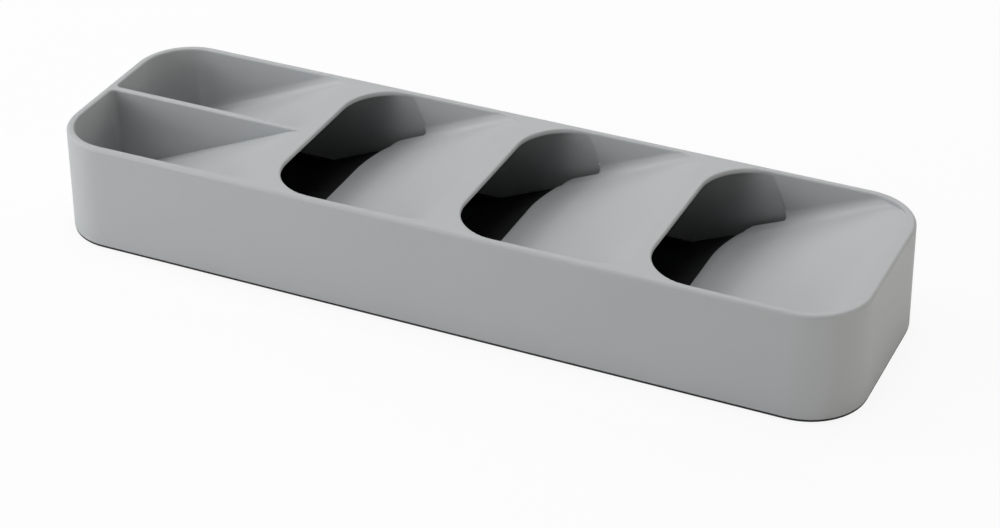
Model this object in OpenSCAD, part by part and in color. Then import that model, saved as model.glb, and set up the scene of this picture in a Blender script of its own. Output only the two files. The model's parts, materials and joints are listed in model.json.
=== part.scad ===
// Cutlery drawer organizer: one long tray with two small compartments at one end
// and three overlapping pockets, each sloping down into a tunnel under the last.
// X runs along the length, Y from the front wall to the back wall, Z up from the
// surface that the tray stands on.

/* [Body] */
// Length over the rim
rim_l = 396; // [386:1:420]
// Width over the rim
rim_w = 112; // [106:1:122]
// Height of the rim above the surface that the tray stands on
body_h = 54; // [52:0.5:60]
// Plan radius of the four corners
corner_r = 27.5; // [24:0.5:32]
// How far each wall leans outwards between rim and foot
wall_lean = 0.6; // [0.2:0.1:1.2]
// Thickness of the outer wall and of every ramp and ledge
skin_t = 2.4; // [2:0.1:2.8]
// Width of the rim round the compartments and pockets
rim_t = 3.7; // [3.3:0.1:4.2]
// Rounding of the rim's outer edge
rim_round = 1.9; // [1:0.1:1.9]
// Rounding of the edges round the openings
lip_round = 1; // [0.6:0.1:1.1]

/* [Ramps] */
// Slope of the ramps
ramp_a = 23.5; // [21:0.5:25]
// Flat ledge between the top of a ramp's slope and the next opening
ledge_flat = 9.4; // [8:0.1:12]
// Radius of the crest where a ramp turns into its ledge
crest_r = 25; // [16:1:26]
// Radius between a ramp and the long walls
trough_r = 5.5; // [4.5:0.5:9]

/* [Compartments] */
// Length of the small compartments, from the end of the tray to the first opening
small_l = 114.4; // [108:0.2:120]
// Thickness of the divider between the small compartments
divider_t = 3.5; // [3:0.1:4.5]
// Rounding of the upright corners between the divider and the end wall
nook_r = 3; // [1:0.5:6]

/* [Pockets] */
// Distance from one opening to the next
pitch = 91.2; // [88:0.2:94]
// Plan radius of an opening's corners
mouth_r = 24; // [18:1:28]
// Gap in plan between an opening's edge and the tip of its ramp
tip_gap = 6.2; // [4.5:0.1:7]
// Plan radius of the wide arc at each corner of a ramp tip
tip_wide_r = 36; // [30:1:40]
// Angle over which the wide arc turns
tip_turn = 30; // [15:1:35]
// Plan radius of the tighter arc that follows it, into the slot
tip_r = 10; // [6:0.5:14]
// Width of the slot on each side of a ramp tip
slot_w = 3.1; // [2.8:0.1:4]
// Rounding of the corner where a slot ends at the crease
slot_r = 1; // [0.5:0.1:1.2]
// Distance from an opening's edge to the crease on the side walls, at the rim
crease_s = 23.5; // [20:0.5:26]
// Length of the small bevel along the crease
crease_bevel = 1.8; // [1:0.1:2.5]

/* [Base] */
// Height of the base's edge that shows under the walls
base_edge = 1.3; // [0.9:0.1:1.5]
// How far the base's edge stands back from the walls
base_inset = 0.2; // [0.1:0.05:0.5]
// Thickness of the base's floor
floor_t = 2.2; // [1.8:0.1:2.6]
// Thickness of the base's walls and chutes
base_t = 1.6; // [1.4:0.1:2]
// Clearance between base and housing
fit_gap = 0.3; // [0.2:0.05:0.4]
// Height of the locating rim inside the walls
locating_h = 6; // [4:0.5:7]
// How far a chute reaches under the tip of its ramp
chute_lap = 5; // [3:0.5:8]

/* [Feet] */
// Diameter of a foot
foot_d = 12; // [10:0.5:14]
// Thickness of a foot
foot_t = 1.2; // [1:0.1:1.4]
// How far a foot stands out under the base
foot_proud = 0.6; // [0.4:0.1:0.8]
// Rounding of a foot's lower edge
foot_round = 0.4; // [0.2:0.1:0.5]
// Clearance round a foot in its recess
foot_gap = 0.15; // [0.1:0.05:0.3]
// Distance of the feet from the long walls
foot_side = 18; // [15:1:24]

/* [Hidden] */
$fn = 96;
// overrun of every cut
over = 2;
// how far a curved cut runs past the faces that it turns into
seam = 0.01;
// flat left between the bevel of a crease and the outer wall
crease_land = skin_t / 12;
pockets = 3;
half_l = rim_l / 2;
half_w = rim_w / 2;
base_z = foot_proud;
wall_z = base_z + base_edge;
floor_z = base_z + floor_t;
inner_w = half_w - skin_t;
pocket_w = half_w - rim_t;
tip_half = inner_w - slot_w;
crest_run = crest_r * tan(ramp_a / 2);
reach = body_h / sin(ramp_a);
// how far the crease turns round the fillet before it meets its slot
crease_turn = acos((tip_half + slot_r - pocket_w + trough_r) / trough_r);
section_h = body_h + over;
base_w = inner_w - fit_gap;
// drop from a ramp's face to the chute that carries on under it
chute_drop = (skin_t + fit_gap) / cos(ramp_a);
function mouth_x(k) = -half_l + small_l + k * pitch;
function bay_end(k) = k < pockets - 1 ? mouth_x(k + 1) : half_l;
function chute_top(k) = mouth_x(k) + tip_gap + chute_lap;
function chute_z(k, x) = body_h - chute_drop + (x - bay_end(k) + ledge_flat) * tan(ramp_a);
function chute_foot(k) = chute_top(k) - (chute_z(k, chute_top(k)) - floor_z) / tan(ramp_a);
// the feet stand halfway along the clear stretches of floor
foot_x = [
    (chute_foot(0) - half_l) / 2,
    (chute_top(0) + chute_foot(1)) / 2,
    (chute_top(2) + half_l) / 2
];

// A rounded rectangle about the origin
module plan(l, w, r) {
    square([l - 2 * r, w], center = true);
    square([l, w - 2 * r], center = true);
    for (x = [-1, 1])
        for (y = [-1, 1])
            translate([x * (l / 2 - r), y * (w / 2 - r)])
                circle(r);
}

// The inside of the tray, set in from the rim's outer edge
module inside(inset, z0, z1) {
    translate([0, 0, z0])
        linear_extrude(z1 - z0)
            plan(rim_l - 2 * inset, rim_w - 2 * inset, corner_r - inset);
}

// A profile, drawn outwards from the corners' axes, carried round the tray
module round_tray() {
    for (side = [0, 180]) {
        rotate([0, 0, side])
            translate([half_l - corner_r, half_w - corner_r, 0])
                rotate([90, 0, 0])
                    linear_extrude(rim_w - 2 * corner_r)
                        children();
        rotate([0, 0, side])
            translate([-half_l + corner_r, half_w - corner_r, 0])
                rotate([90, 0, 90])
                    linear_extrude(rim_l - 2 * corner_r)
                        children();
        rotate([0, 0, side])
            translate([half_l - corner_r, half_w - corner_r, 0])
                rotate_extrude(angle = 90)
                    children();
        rotate([0, 0, side])
            translate([-half_l + corner_r, half_w - corner_r, 0])
                rotate([0, 0, 90])
                    rotate_extrude(angle = 90)
                        children();
    }
}

module wall_profile() {
    inner = corner_r - skin_t;
    shoulder = body_h - rim_round;
    polygon([[inner, wall_z], [corner_r + wall_lean, wall_z], [corner_r, shoulder], [inner, shoulder]]);
    translate([inner, shoulder])
        square([skin_t - rim_round, rim_round]);
    intersection() {
        translate([corner_r - rim_round, shoulder])
            circle(rim_round);
        translate([corner_r - rim_round, shoulder])
            square(rim_round);
    }
}

// Places things in a ramp's own frame: X up the slope, Z square to it, with the
// origin where the slope meets the height of the rim
module on_ramp(end) {
    translate([end - ledge_flat, 0, body_h])
        rotate([0, -ramp_a, 0])
            children();
}

// A section, drawn across the tray and up from the ramp, carried along the slope
// to a place counted from where the slope meets the height of the rim
module along_ramp(end, to) {
    on_ramp(end)
        translate([-reach, 0, 0])
            rotate([90, 0, 90])
                linear_extrude(reach + to)
                    children();
}

// A section carried over the crest, from the slope into the ledge
module over_crest(end) {
    translate([end - ledge_flat + crest_run, 0, body_h - crest_r])
        rotate([90, 0, 0])
            rotate([0, 0, 90])
                rotate_extrude(angle = ramp_a)
                    translate([crest_r + seam, 0])
                        rotate(-90)
                            children();
}

// The space above a ramp from the tray's middle line out to one long wall
module half_trough(low, side) {
    flat = side - trough_r;
    difference() {
        translate([low, 0])
            square([side - low, section_h]);
        difference() {
            translate([flat, -over])
                square([trough_r + over, trough_r + over]);
            translate([flat, trough_r])
                circle(trough_r);
        }
    }
}

// The space above a ramp, whole or with a divider left standing in it
module trough_section(divider, side) {
    if (divider > 0) {
        half_trough(divider / 2, side);
        mirror([1, 0])
            half_trough(divider / 2, side);
    } else
        intersection() {
            half_trough(-side - over, side);
            mirror([1, 0])
                half_trough(-side - over, side);
        }
}

// A ramp's sheet and all that is above it, out into the long walls
module sheet_section() {
    side = inner_w + skin_t / 4;
    flat = pocket_w - trough_r;
    difference() {
        translate([-side, -skin_t])
            square([2 * side, section_h]);
        for (y = [0, 1])
            mirror([y, 0])
                difference() {
                    translate([flat, -skin_t - over])
                        square([skin_t + trough_r + over, skin_t + trough_r + over]);
                    translate([flat, trough_r])
                        circle(trough_r + skin_t);
                }
    }
}

// What lies beyond an opening's straight edge and its two rounded corners, towards -X
module end_mask(x, r) {
    centre = pocket_w + seam - r;
    translate([0, 0, wall_z - over])
        linear_extrude(body_h + section_h)
            difference() {
                translate([x - rim_l, -half_w - over])
                    square([rim_l + r, rim_w + 2 * over]);
                translate([x, -centre])
                    square([r + over, 2 * centre]);
                for (y = [-1, 1])
                    translate([x + r, y * centre])
                        circle(r);
            }
}

// What the two small compartments lose in the corners between divider and end wall
module nooks() {
    x = -half_l + rim_t;
    side = divider_t / 2;
    translate([0, 0, wall_z - over])
        linear_extrude(body_h + section_h)
            for (y = [0, 1])
                mirror([0, y])
                    difference() {
                        translate([x - over, side - over])
                            square([over + nook_r, over + nook_r]);
                        translate([x + nook_r, side + nook_r])
                            circle(nook_r);
                    }
}

// What a ramp tip's plan loses outside one arc, from one direction on to the slot
module tip_nick(centre, r, turn) {
    far = 2 * r;
    difference() {
        polygon([
            centre,
            centre + far * [-cos(turn), sin(turn)],
            centre + [0, far]
        ]);
        translate(centre)
            circle(r);
    }
}

// A ramp tip's plan, between its two slots
module tip_plan(k) {
    x = mouth_x(k) + tip_gap;
    apart = tip_wide_r - tip_r + seam;
    wide_c = [x + tip_wide_r, tip_half - tip_r - apart * sin(tip_turn)];
    tight_c = wide_c + apart * [-cos(tip_turn), sin(tip_turn)];
    difference() {
        translate([x, -tip_half])
            square([pitch, 2 * tip_half]);
        for (y = [0, 1])
            mirror([0, y]) {
                tip_nick(wide_c, tip_wide_r, 0);
                tip_nick(tight_c, tip_r, tip_turn);
            }
    }
}

// Where the crease lies along a pocket's ramp, counted from the top of the slope
function crease_at(k) = (mouth_x(k) + crease_s - bay_end(k) + ledge_flat) * cos(ramp_a);

// The sheet of one bay, on up into its ledge
module bay_sheet(end) {
    along_ramp(end, skin_t / tan(ramp_a) + over)
        sheet_section();
}

module bay_space(end, divider) {
    along_ramp(end, over / 2 - crest_run)
        trough_section(divider, pocket_w);
    over_crest(end)
        trough_section(divider + 2 * seam * sign(divider), pocket_w - seam);
}

// The slots beside a ramp's tip, and all that lies beyond the tip
module tip_slots(k) {
    difference() {
        on_ramp(bay_end(k))
            translate([crease_at(k) - rim_l, -half_w - over, -body_h])
                cube([rim_l, rim_w + 2 * over, 2 * body_h]);
        translate([0, 0, -section_h])
            linear_extrude(3 * section_h)
                tip_plan(k);
        for (y = [0, 1])
            mirror([0, y])
                on_ramp(bay_end(k))
                    translate([crease_at(k), tip_half, -trough_r])
                        linear_extrude(2 * trough_r)
                            slot_corner();
    }
}

// The rounding between a slot's long side and the crease
module slot_corner() {
    difference() {
        translate([-slot_r, -over])
            square([slot_r + over, slot_r + over]);
        translate([-slot_r, slot_r])
            circle(slot_r);
    }
}

// The bevel along the crease: straight on the side walls, then round the fillet
module crease_nick(k) {
    foot_w = inner_w - crease_land;
    slope = crease_bevel / (foot_w - pocket_w);
    flat = pocket_w - trough_r;
    back = over * slope;
    for (y = [0, 1])
        mirror([0, y])
            on_ramp(bay_end(k)) {
                translate([crease_at(k), 0, trough_r])
                    linear_extrude(section_h)
                        polygon([
                            [-back, foot_w + over],
                            [crease_bevel + back, pocket_w - over],
                            [-back, pocket_w - over]
                        ]);
                translate([crease_at(k), flat, trough_r])
                    rotate([-90, 0, 0])
                        rotate([0, 90, 0])
                            rotate_extrude(angle = crease_turn)
                                polygon([
                                    [foot_w + over - flat, -back],
                                    [trough_r - over, crease_bevel + back],
                                    [trough_r - over, -back]
                                ]);
            }
}

// A pocket's ramp: fixed to the walls as far as the crease, then a free tip
module pocket_sheet(k) {
    difference() {
        bay_sheet(bay_end(k));
        tip_slots(k);
        crease_nick(k);
    }
}

// The open space of one pocket above its ramp
module pocket_space(k) {
    difference() {
        bay_space(bay_end(k), 0);
        end_mask(mouth_x(k), mouth_r);
        if (k == pockets - 1)
            mirror([1, 0, 0])
                end_mask(-half_l + rim_t, corner_r - rim_t);
    }
}

// The open space of both small compartments
module small_space() {
    difference() {
        bay_space(mouth_x(0), divider_t);
        end_mask(-half_l + rim_t, corner_r - rim_t);
        nooks();
    }
}

// What an edge loses when it is rounded: the solid lies to the right and below
module edge_nick(r) {
    difference() {
        translate([-over, -r])
            square(r + over);
        translate([r, -r])
            circle(r);
    }
}

// The rounding of an opening's edge, along its straight side and round its corners
module mouth_lip(k) {
    centre = pocket_w + seam - mouth_r;
    straight = 2 * centre;
    translate([mouth_x(k), straight / 2, body_h])
        rotate([90, 0, 0])
            linear_extrude(straight)
                mirror([1, 0])
                    edge_nick(lip_round);
    for (y = [-1, 1])
        translate([mouth_x(k) + mouth_r, y * centre, body_h])
            rotate([0, 0, y > 0 ? 90 : 180])
                rotate_extrude(angle = 90)
                    translate([mouth_r, 0])
                        edge_nick(lip_round);
}

module deck() {
    translate([0, 0, body_h - skin_t])
        linear_extrude(skin_t)
            plan(rim_l - skin_t, rim_w - skin_t, corner_r - skin_t / 2);
}

module housing() {
    color([0.66, 0.68, 0.69]) {
        round_tray()
            wall_profile();
        difference() {
            union() {
                deck();
                intersection() {
                    inside(skin_t / 2, wall_z, body_h);
                    union() {
                        bay_sheet(mouth_x(0));
                        for (k = [0 : pockets - 1])
                            pocket_sheet(k);
                    }
                }
            }
            small_space();
            for (k = [0 : pockets - 1]) {
                pocket_space(k);
                mouth_lip(k);
            }
        }
    }
}

// One chute: the slope that carries on from a ramp's tip down to the floor, with
// its upright back and two cheeks, hollow from below
module chute(k) {
    x1 = chute_top(k);
    z1 = chute_z(k, x1);
    x0 = chute_foot(k);
    run = floor_t / tan(ramp_a);
    translate([0, base_w, 0])
        rotate([90, 0, 0])
            linear_extrude(2 * base_w)
                polygon([[x0 - run, base_z], [x0, floor_z], [x1, z1], [x1, base_z]]);
}

module chute_hollow(k) {
    x1 = chute_top(k) - base_t;
    z1 = chute_z(k, x1) - base_t / cos(ramp_a);
    z0 = base_z - over;
    translate([0, base_w - base_t, 0])
        rotate([90, 0, 0])
            linear_extrude(2 * (base_w - base_t))
                polygon([[x1 - (z1 - z0) / tan(ramp_a), z0], [x1, z1], [x1, z0]]);
}

// Everything above the sheet of the small compartments, with a clearance under it
module above_small_ramp() {
    on_ramp(mouth_x(0))
        translate([-2 * reach, -half_w, -skin_t - fit_gap])
            cube([2 * reach, rim_w, section_h]);
}

module foot_recess(i, side) {
    translate([foot_x[i], side * (half_w - foot_side), base_z - over])
        cylinder(h = foot_t - base_z + over, r = foot_d / 2 + foot_gap);
}

module base() {
    edge = base_inset - wall_lean;
    gap = skin_t + fit_gap;
    color([0.16, 0.16, 0.17])
        difference() {
            union() {
                inside(edge, base_z, wall_z);
                inside(gap, base_z, floor_z);
                difference() {
                    inside(gap, base_z, base_z + locating_h);
                    inside(gap + base_t, base_z - over, base_z + locating_h + over);
                    above_small_ramp();
                }
                for (k = [0 : pockets - 1])
                    chute(k);
            }
            for (k = [0 : pockets - 1])
                chute_hollow(k);
            for (i = [0 : 2])
                for (side = [-1, 1])
                    foot_recess(i, side);
        }
}

// One rubber foot, seated against the top of its recess
module foot(i, side) {
    color([0.1, 0.1, 0.1])
        translate([foot_x[i], side * (half_w - foot_side), 0])
            rotate_extrude()
                difference() {
                    square([foot_d / 2, foot_t]);
                    translate([foot_d / 2, 0])
                        rotate(180)
                            edge_nick(foot_round);
                }
}

module foot_1() {
    foot(0, -1);
}

module foot_2() {
    foot(0, 1);
}

module foot_3() {
    foot(1, -1);
}

module foot_4() {
    foot(1, 1);
}

module foot_5() {
    foot(2, -1);
}

module foot_6() {
    foot(2, 1);
}

housing();
base();
foot_1();
foot_2();
foot_3();
foot_4();
foot_5();
foot_6();
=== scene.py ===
import json
import math

import bmesh
import bpy
from mathutils import Matrix, Vector

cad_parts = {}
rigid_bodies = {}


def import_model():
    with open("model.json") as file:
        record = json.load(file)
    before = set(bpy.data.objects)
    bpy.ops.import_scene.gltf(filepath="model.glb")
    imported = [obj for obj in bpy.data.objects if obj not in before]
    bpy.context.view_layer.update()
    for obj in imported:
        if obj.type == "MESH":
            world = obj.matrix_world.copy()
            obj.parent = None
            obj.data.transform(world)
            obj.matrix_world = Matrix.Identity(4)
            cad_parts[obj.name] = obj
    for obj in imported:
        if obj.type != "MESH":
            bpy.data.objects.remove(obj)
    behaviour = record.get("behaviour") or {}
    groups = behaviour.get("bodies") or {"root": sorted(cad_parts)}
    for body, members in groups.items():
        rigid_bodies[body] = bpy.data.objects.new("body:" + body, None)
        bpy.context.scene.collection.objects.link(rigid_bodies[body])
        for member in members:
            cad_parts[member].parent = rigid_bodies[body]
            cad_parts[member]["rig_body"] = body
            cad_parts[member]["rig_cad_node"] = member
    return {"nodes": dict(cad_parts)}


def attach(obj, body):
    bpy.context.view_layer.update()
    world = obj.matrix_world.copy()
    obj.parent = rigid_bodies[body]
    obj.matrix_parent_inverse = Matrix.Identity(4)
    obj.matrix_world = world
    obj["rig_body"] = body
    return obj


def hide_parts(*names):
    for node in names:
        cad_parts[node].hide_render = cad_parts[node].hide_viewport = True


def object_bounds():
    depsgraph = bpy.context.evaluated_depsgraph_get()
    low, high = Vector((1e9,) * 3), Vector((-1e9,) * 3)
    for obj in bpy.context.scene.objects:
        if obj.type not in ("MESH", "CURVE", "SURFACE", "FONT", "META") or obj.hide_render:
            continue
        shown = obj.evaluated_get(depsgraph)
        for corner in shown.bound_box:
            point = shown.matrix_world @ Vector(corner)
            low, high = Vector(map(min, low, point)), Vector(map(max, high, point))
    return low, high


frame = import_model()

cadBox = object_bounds()
print("frame loaded:", ", ".join(sorted(frame["nodes"])))


# Camera

cameraView = {
    "azimuth": 25.41,
    "elevation": 31.12,
    "roll": -0.69,
    "distance": 1.2022,
    "lookAt": (0, 0, 0.02767),
    "lens": 93.585,
    "shiftX": 0.0224,
    "shiftY": -0.04595,
    "sensorWidth": 36,
    "clipStart": 0.05,
    "clipEnd": 20,
}


def addCamera(v):
    turn, lift, roll = (math.radians(v[k]) for k in ("azimuth", "elevation", "roll"))
    back = Vector((math.sin(turn) * math.cos(lift), -math.cos(turn) * math.cos(lift), math.sin(lift)))
    right = Vector((math.cos(turn), math.sin(turn), 0))
    up = back.cross(right)
    rolledRight = right * math.cos(roll) + up * math.sin(roll)
    rolledUp = up * math.cos(roll) - right * math.sin(roll)
    bpy.ops.object.camera_add(location=Vector(v["lookAt"]) + back * v["distance"])
    camera = bpy.context.object
    camera.name = "photoCamera"
    camera.rotation_euler = Matrix((rolledRight, rolledUp, back)).transposed().to_euler()
    camera.data.sensor_width = v["sensorWidth"]
    camera.data.lens = v["lens"]
    camera.data.shift_x = v["shiftX"]
    camera.data.shift_y = v["shiftY"]
    camera.data.clip_start = v["clipStart"]
    camera.data.clip_end = v["clipEnd"]
    bpy.context.scene.camera = camera


addCamera(cameraView)
print("camera placed")


# Shader helpers

class Wire:
    # an output socket that adds Math nodes when it is used in an expression
    def __init__(self, recipe, socket):
        self.recipe = recipe
        self.socket = socket

    def maths(self, operation, first, second):
        return self.recipe.add("ShaderNodeMath", {"operation": operation}, {0: first, 1: second}).out("Value")

    def __add__(self, other):
        return self.maths("ADD", self, other)

    def __sub__(self, other):
        return self.maths("SUBTRACT", self, other)

    def __mul__(self, other):
        return self.maths("MULTIPLY", self, other)


class Placed:
    # a node that has been added, with its outputs by name
    def __init__(self, recipe, node):
        self.recipe = recipe
        self.node = node

    def out(self, name):
        return Wire(self.recipe, self.node.outputs[name])


class Recipe:
    def __init__(self, name):
        self.material = bpy.data.materials.new(name)
        self.material.use_nodes = True
        self.tree = self.material.node_tree
        self.tree.nodes.clear()

    def add(self, kind, settings, sockets):
        node = self.tree.nodes.new(kind)
        for key, value in settings.items():
            setattr(node, key, value)
        for key, value in sockets.items():
            if isinstance(value, Wire):
                self.tree.links.new(value.socket, node.inputs[key])
            else:
                node.inputs[key].default_value = value
        return Placed(self, node)

    def finish(self, shader):
        self.add("ShaderNodeOutputMaterial", {}, {"Surface": shader})
        return self.material


plasticBasics = {
    "noiseRoughness": 0.55,
    "broadDetail": 2,
    "speckDetail": 1,
    "middle": 0.5,
    "grainShare": 0.65,
    "speckShare": 0.35,
    "refraction": 1.49,
}


def shade(colour, amount):
    return (colour[0] * amount, colour[1] * amount, colour[2] * amount, 1)


def mouldedPlastic(name, v):
    recipe = Recipe(name)
    basics = plasticBasics
    middle = basics["middle"]
    place = recipe.add("ShaderNodeTexCoord", {}, {}).out("Object")

    def noise(scale, detail):
        return recipe.add("ShaderNodeTexNoise", {}, {
            "Vector": place,
            "Scale": scale,
            "Detail": detail,
            "Roughness": basics["noiseRoughness"],
        }).out("Fac")

    flow = noise(v["flowScale"], basics["broadDetail"])
    grain = noise(v["grainScale"], basics["broadDetail"])
    speck = noise(v["speckScale"], basics["speckDetail"])
    tone = (flow - middle) * v["flowTone"] + (speck - middle) * v["speckTone"] + middle
    colour = recipe.add("ShaderNodeMix", {"data_type": "RGBA", "clamp_factor": True}, {
        0: tone,
        6: shade(v["colour"], 1 - v["toneSpan"]),
        7: shade(v["colour"], 1 + v["toneSpan"]),
    })
    rough = (flow - middle) * v["roughFlow"] + (grain - middle) * v["roughGrain"] + v["roughness"]
    bump = recipe.add("ShaderNodeBump", {}, {
        "Height": grain * basics["grainShare"] + speck * basics["speckShare"],
        "Strength": v["bumpStrength"],
        "Distance": v["bumpDepth"],
    }).out("Normal")
    shader = recipe.add("ShaderNodeBsdfPrincipled", {}, {
        "Base Color": Wire(recipe, colour.node.outputs[2]),
        "Roughness": rough,
        "Normal": bump,
        "IOR": basics["refraction"],
        "Specular IOR Level": v["specular"],
    }).out("BSDF")
    return recipe.finish(shader)


# Materials

housingFinish = {
    "colour": (0.487, 0.5, 0.507),
    "toneSpan": 0.03,
    "flowScale": 22,
    "flowTone": 1.1,
    "speckScale": 5200,
    "speckTone": 0.9,
    "grainScale": 1900,
    "roughness": 0.46,
    "roughFlow": 0.08,
    "roughGrain": 0.12,
    "bumpStrength": 0.35,
    "bumpDepth": 0.00004,
    "specular": 0.45,
}
baseFinish = {
    "colour": (0.022, 0.022, 0.024),
    "toneSpan": 0.12,
    "flowScale": 30,
    "flowTone": 1,
    "speckScale": 4600,
    "speckTone": 1,
    "grainScale": 1500,
    "roughness": 0.55,
    "roughFlow": 0.08,
    "roughGrain": 0.15,
    "bumpStrength": 0.45,
    "bumpDepth": 0.00005,
    "specular": 0.4,
}
footFinish = {
    "colour": (0.03, 0.03, 0.031),
    "toneSpan": 0.2,
    "flowScale": 160,
    "flowTone": 1,
    "speckScale": 3800,
    "speckTone": 1.4,
    "grainScale": 900,
    "roughness": 0.78,
    "roughFlow": 0.1,
    "roughGrain": 0.12,
    "bumpStrength": 0.6,
    "bumpDepth": 0.00006,
    "specular": 0.3,
}
greyPlastic = mouldedPlastic("greyPlastic", housingFinish)
charcoalPlastic = mouldedPlastic("charcoalPlastic", baseFinish)
footRubber = mouldedPlastic("footRubber", footFinish)
print("materials made")


# Mouldings, copied from the CAD solids and given softened edges

def deselectAll():
    bpy.ops.object.select_all(action="DESELECT")


def applyAll(piece):
    bpy.context.view_layer.objects.active = piece
    for modifier in list(piece.modifiers):
        bpy.ops.object.modifier_apply(modifier=modifier.name)


def drawRimIn(piece, v):
    # the flat top ends where the rim's rounding reaches it, and not a step further out
    left, front = cadBox[0][0], cadBox[0][1]
    for side in (-1, 1):
        for end in (-1, 1):
            inset = v["lean"] + v["cornerRadius"]
            middle = Vector((end * (-left - inset), side * (-front - inset), 0))
            mesh = bmesh.from_edit_mesh(piece.data)
            for vertex in mesh.verts:
                out = vertex.co - middle
                reach = math.hypot(out.x, out.y)
                vertex.select_set(
                    vertex.co.z > v["top"] - v["near"]
                    and out.x * end > -v["near"] and out.y * side > -v["near"]
                    and abs(reach - v["cornerRadius"] + v["stepInset"]) < v["near"])
            mesh.select_flush(True)
            bmesh.update_edit_mesh(piece.data)
            shrink = (v["cornerRadius"] - v["rounding"]) / (v["cornerRadius"] - v["stepInset"])
            bpy.ops.transform.resize(value=(shrink, shrink, 1), center_override=middle)


def softenEdges(piece, v):
    # square outer edges only: where a side fades into a ledge it is smooth already
    # the rounding ends before the last ledge's corners, where the rim's inner wall fades out
    low, high = (math.radians(turn) for turn in v["turns"])
    end = cadBox[1][0] - v["endMargin"]
    for stretch in v["stretches"]:
        bottom, top = stretch["heights"]
        bpy.ops.mesh.select_all(action="DESELECT")
        mesh = bmesh.from_edit_mesh(piece.data)
        for edge in mesh.edges:
            inside = all(bottom < vertex.co.z < top and vertex.co.x < end for vertex in edge.verts)
            square = edge.is_convex and low < edge.calc_face_angle(0) < high
            across = abs(edge.verts[0].co.x - edge.verts[1].co.x) < v["mergeWithin"]
            stub = across and edge.calc_length() < v["stub"]
            edge.select_set(inside and square and not stub)
        bmesh.update_edit_mesh(piece.data)
        bpy.ops.mesh.bevel(
            offset=stretch["radius"],
            segments=stretch["segments"],
            profile=v["roundProfile"],
            clamp_overlap=False,
            miter_outer="ARC",
        )


def softenedCopy(node, name, v):
    deselectAll()
    node.select_set(True)
    bpy.context.view_layer.objects.active = node
    bpy.ops.object.duplicate()
    piece = bpy.context.object
    bpy.ops.object.parent_clear(type="CLEAR_KEEP_TRANSFORM")
    piece.name = name
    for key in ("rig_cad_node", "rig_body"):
        if key in piece:
            del piece[key]
    bpy.ops.object.mode_set(mode="EDIT")
    bpy.ops.mesh.select_all(action="SELECT")
    bpy.ops.mesh.customdata_custom_splitnormals_clear()
    bpy.ops.mesh.remove_doubles(threshold=v["mergeWithin"])
    bpy.ops.mesh.dissolve_limited(angle_limit=math.radians(v["flatAngle"]), delimit={"NORMAL"})
    bpy.ops.mesh.select_all(action="DESELECT")
    bpy.ops.mesh.select_mode(type="VERT")
    if "rim" in v:
        drawRimIn(piece, v["rim"])
    bpy.ops.mesh.select_all(action="DESELECT")
    bpy.ops.mesh.select_mode(type="EDGE")
    softenEdges(piece, v)
    bpy.ops.mesh.select_all(action="SELECT")
    bpy.ops.mesh.dissolve_degenerate(threshold=v["tooShort"])
    bpy.ops.object.mode_set(mode="OBJECT")
    bpy.ops.object.shade_smooth_by_angle(angle=math.radians(v["smoothAngle"]))
    weighted = piece.modifiers.new("evenNormals", "WEIGHTED_NORMAL")
    weighted.keep_sharp = True
    weighted.weight = v["normalWeight"]
    applyAll(piece)
    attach(piece, "root")
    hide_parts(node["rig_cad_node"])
    return piece


def dress(piece, material):
    piece.data.materials.clear()
    piece.data.materials.append(material)


housingEdges = {
    "mergeWithin": 0.000015,
    "flatAngle": 0.4,
    "smoothAngle": 40,
    "turns": (85, 100),
    "stub": 0.0012,
    "endMargin": 0.017,
    "tooShort": 0.000001,
    "roundProfile": 0.5,
    "normalWeight": 80,
    "stretches": [
        {"heights": (0.0539, 0.0541), "radius": 0.001, "segments": 4},
        {"heights": (0.01, 0.0525), "radius": 0.0006, "segments": 3},
    ],
    "rim": {
        "top": 0.054,
        "near": 0.00002,
        "cornerRadius": 0.0275,
        "rounding": 0.0019,
        "stepInset": 0.0012,
        "lean": 0.0006,
    },
}
housing = softenedCopy(frame["nodes"]["housing"], "housingMoulding", housingEdges)
dress(housing, greyPlastic)
print("housing softened:", len(housing.data.polygons), "faces")

baseEdges = {
    "mergeWithin": 0.000004,
    "flatAngle": 0.4,
    "smoothAngle": 23,
    "turns": (32, 100),
    "stub": 0,
    "endMargin": 0,
    "tooShort": 0.000001,
    "roundProfile": 0.5,
    "normalWeight": 80,
    "stretches": [{"heights": (-0.001, 0.06), "radius": 0.0002, "segments": 4}],
}
base = softenedCopy(frame["nodes"]["base"], "baseMoulding", baseEdges)
dress(base, charcoalPlastic)
print("base softened:", len(base.data.polygons), "faces")

for name, node in sorted(frame["nodes"].items()):
    if name.startswith("foot_"):
        node.material_slots[0].material = footRubber
print("feet dressed")


# Floor, lamps and world

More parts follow.
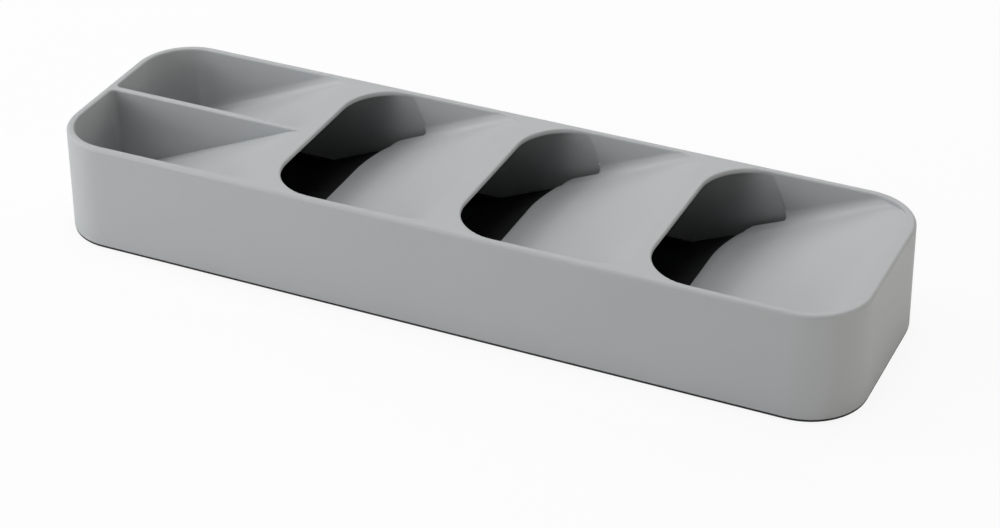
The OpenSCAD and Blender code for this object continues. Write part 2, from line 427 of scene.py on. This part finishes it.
studio = {
    "floorSize": 8,
    "floorDrop": 0.0002,
    "floorColour": (0.9, 0.9, 0.9, 1),
    "floorWhite": 0.9,
    "ambient": 0,
    "lamps": {
        "leftKey": {
            "place": (-1.5, -0.2, 0.9),
            "size": (0.9, 0.9),
            "power": 8.1,
            "colour": (0.99, 1, 1),
        },
        "highLeft": {
            "place": (-1.1, 0.1, 1.4),
            "size": (0.8, 0.8),
            "power": 4,
            "colour": (1, 1, 1),
        },
        "frontLeftFill": {
            "place": (-0.9, -1.3, 0.9),
            "size": (0.9, 0.9),
            "power": 4.5,
            "colour": (1, 1, 1),
        },
        "lowFrontLeft": {
            "place": (-1.2, -1.5, 0.35),
            "size": (0.8, 0.5),
            "power": 8.2,
            "colour": (0.97, 0.99, 1),
        },
        "topSoftbox": {
            "place": (0, 0, 1.7),
            "size": (1, 1),
            "power": 10.9,
            "colour": (1, 1, 1),
        },
        "backSoftbox": {
            "place": (0.1, 1.5, 1),
            "size": (1.2, 0.8),
            "power": 2.4,
            "colour": (1, 1, 1),
        },
        "wideBackSoftbox": {
            "place": (0, 1.4, 1.2),
            "size": (2.6, 1.4),
            "power": 11.6,
            "colour": (1, 1, 1),
        },
        "lowRight": {
            "place": (1.8, -0.2, 0.25),
            "size": (0.8, 0.4),
            "power": 6.8,
            "colour": (1, 0.96, 0.87),
        },
    },
}


def addFloor(v):
    bpy.ops.mesh.primitive_plane_add(size=v["floorSize"], location=(0, 0, -v["floorDrop"]))
    floor = bpy.context.object
    floor.name = "studioFloor"
    recipe = Recipe("palePaper")
    light = recipe.add("ShaderNodeLightPath", {}, {})
    paper = recipe.add("ShaderNodeBsdfDiffuse", {}, {"Color": v["floorColour"]}).out("BSDF")
    white = recipe.add("ShaderNodeEmission", {}, {"Color": (1, 1, 1, 1), "Strength": 1}).out("Emission")
    seen = light.out("Is Camera Ray") * v["floorWhite"]
    mixed = recipe.add("ShaderNodeMixShader", {}, {0: seen, 1: paper, 2: white}).out("Shader")
    floor.data.materials.append(recipe.finish(mixed))


def addLamps(v):
    for name, lamp in v["lamps"].items():
        place = Vector(lamp["place"])
        bpy.ops.object.light_add(type="AREA", location=place)
        light = bpy.context.object
        light.name = name
        light.data.shape = "RECTANGLE"
        light.data.size, light.data.size_y = lamp["size"]
        light.data.energy = lamp["power"]
        light.data.color = lamp["colour"]
        light.rotation_euler = place.to_track_quat("Z", "Y").to_euler()


def addWorld(v):
    world = bpy.data.worlds.new("paleStudio")
    world.use_nodes = True
    tree = world.node_tree
    tree.nodes.clear()
    rays = tree.nodes.new("ShaderNodeLightPath")
    soft = tree.nodes.new("ShaderNodeBackground")
    soft.inputs["Color"].default_value = (1, 1, 1, 1)
    soft.inputs["Strength"].default_value = v["ambient"]
    white = tree.nodes.new("ShaderNodeBackground")
    white.inputs["Strength"].default_value = 1
    white.inputs["Color"].default_value = (1, 1, 1, 1)
    mixed = tree.nodes.new("ShaderNodeMixShader")
    output = tree.nodes.new("ShaderNodeOutputWorld")
    tree.links.new(rays.outputs["Is Camera Ray"], mixed.inputs[0])
    tree.links.new(soft.outputs[0], mixed.inputs[1])
    tree.links.new(white.outputs[0], mixed.inputs[2])
    tree.links.new(mixed.outputs[0], output.inputs[0])
    bpy.context.scene.world = world


deselectAll()
addFloor(studio)
addLamps(studio)
addWorld(studio)
bpy.context.scene.view_settings.view_transform = "Standard"
print("studio lit")
